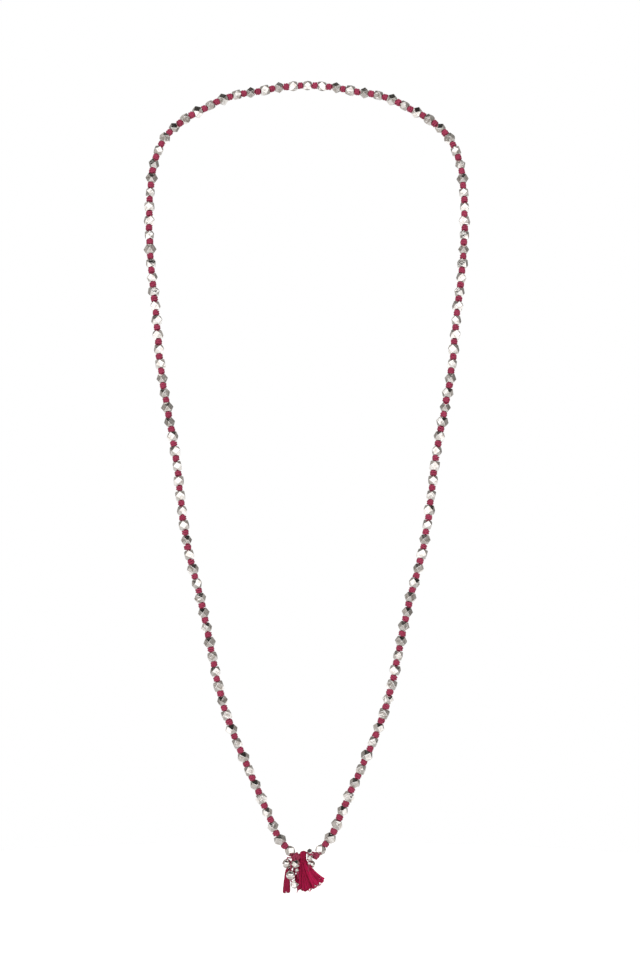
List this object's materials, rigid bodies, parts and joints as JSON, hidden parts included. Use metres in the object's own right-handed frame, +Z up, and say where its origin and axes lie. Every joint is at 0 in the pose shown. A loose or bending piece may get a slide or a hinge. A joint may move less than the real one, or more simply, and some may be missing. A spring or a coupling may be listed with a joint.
{
  "type": "long knotted bead necklace with tassels",
  "caption": "Long loop of cut silver nugget beads knotted on magenta thread, in the form it hangs in, with two thread tassels and small silver drops at its foot.",
  "frame": {"origin": "the point under the top bead where the necklace lies on the nape", "axes": "+Z up, +X to the right as seen from the front, -Y towards the viewer; the foot of the loop hangs forward and below"},
  "size_m": [0.1693, 0.0642, 0.4177],
  "materials": {
    "silver_plate": "polished silver plate, a little worn on the edges",
    "knot_thread": "waxed magenta cotton thread in tight knots",
    "tassel_thread": "soft crimson cotton thread"
  },
  "bodies": {
    "root": {"bead_nape": "silver_plate", "beads_left": "silver_plate", "beads_right": "silver_plate", "thread_left": "knot_thread", "thread_right": "knot_thread", "drop_threads": "knot_thread", "tassel_main": "tassel_thread", "tassel_side": "tassel_thread", "ball_upper": "silver_plate", "ball_lower": "silver_plate", "ball_right": "silver_plate", "nugget_cross": "silver_plate", "nugget_left": "silver_plate", "nugget_right": "silver_plate", "nugget_low_left": "silver_plate", "nugget_low_right": "silver_plate", "pip_left": "silver_plate", "pip_right": "silver_plate"}
  },
  "joints": []
}
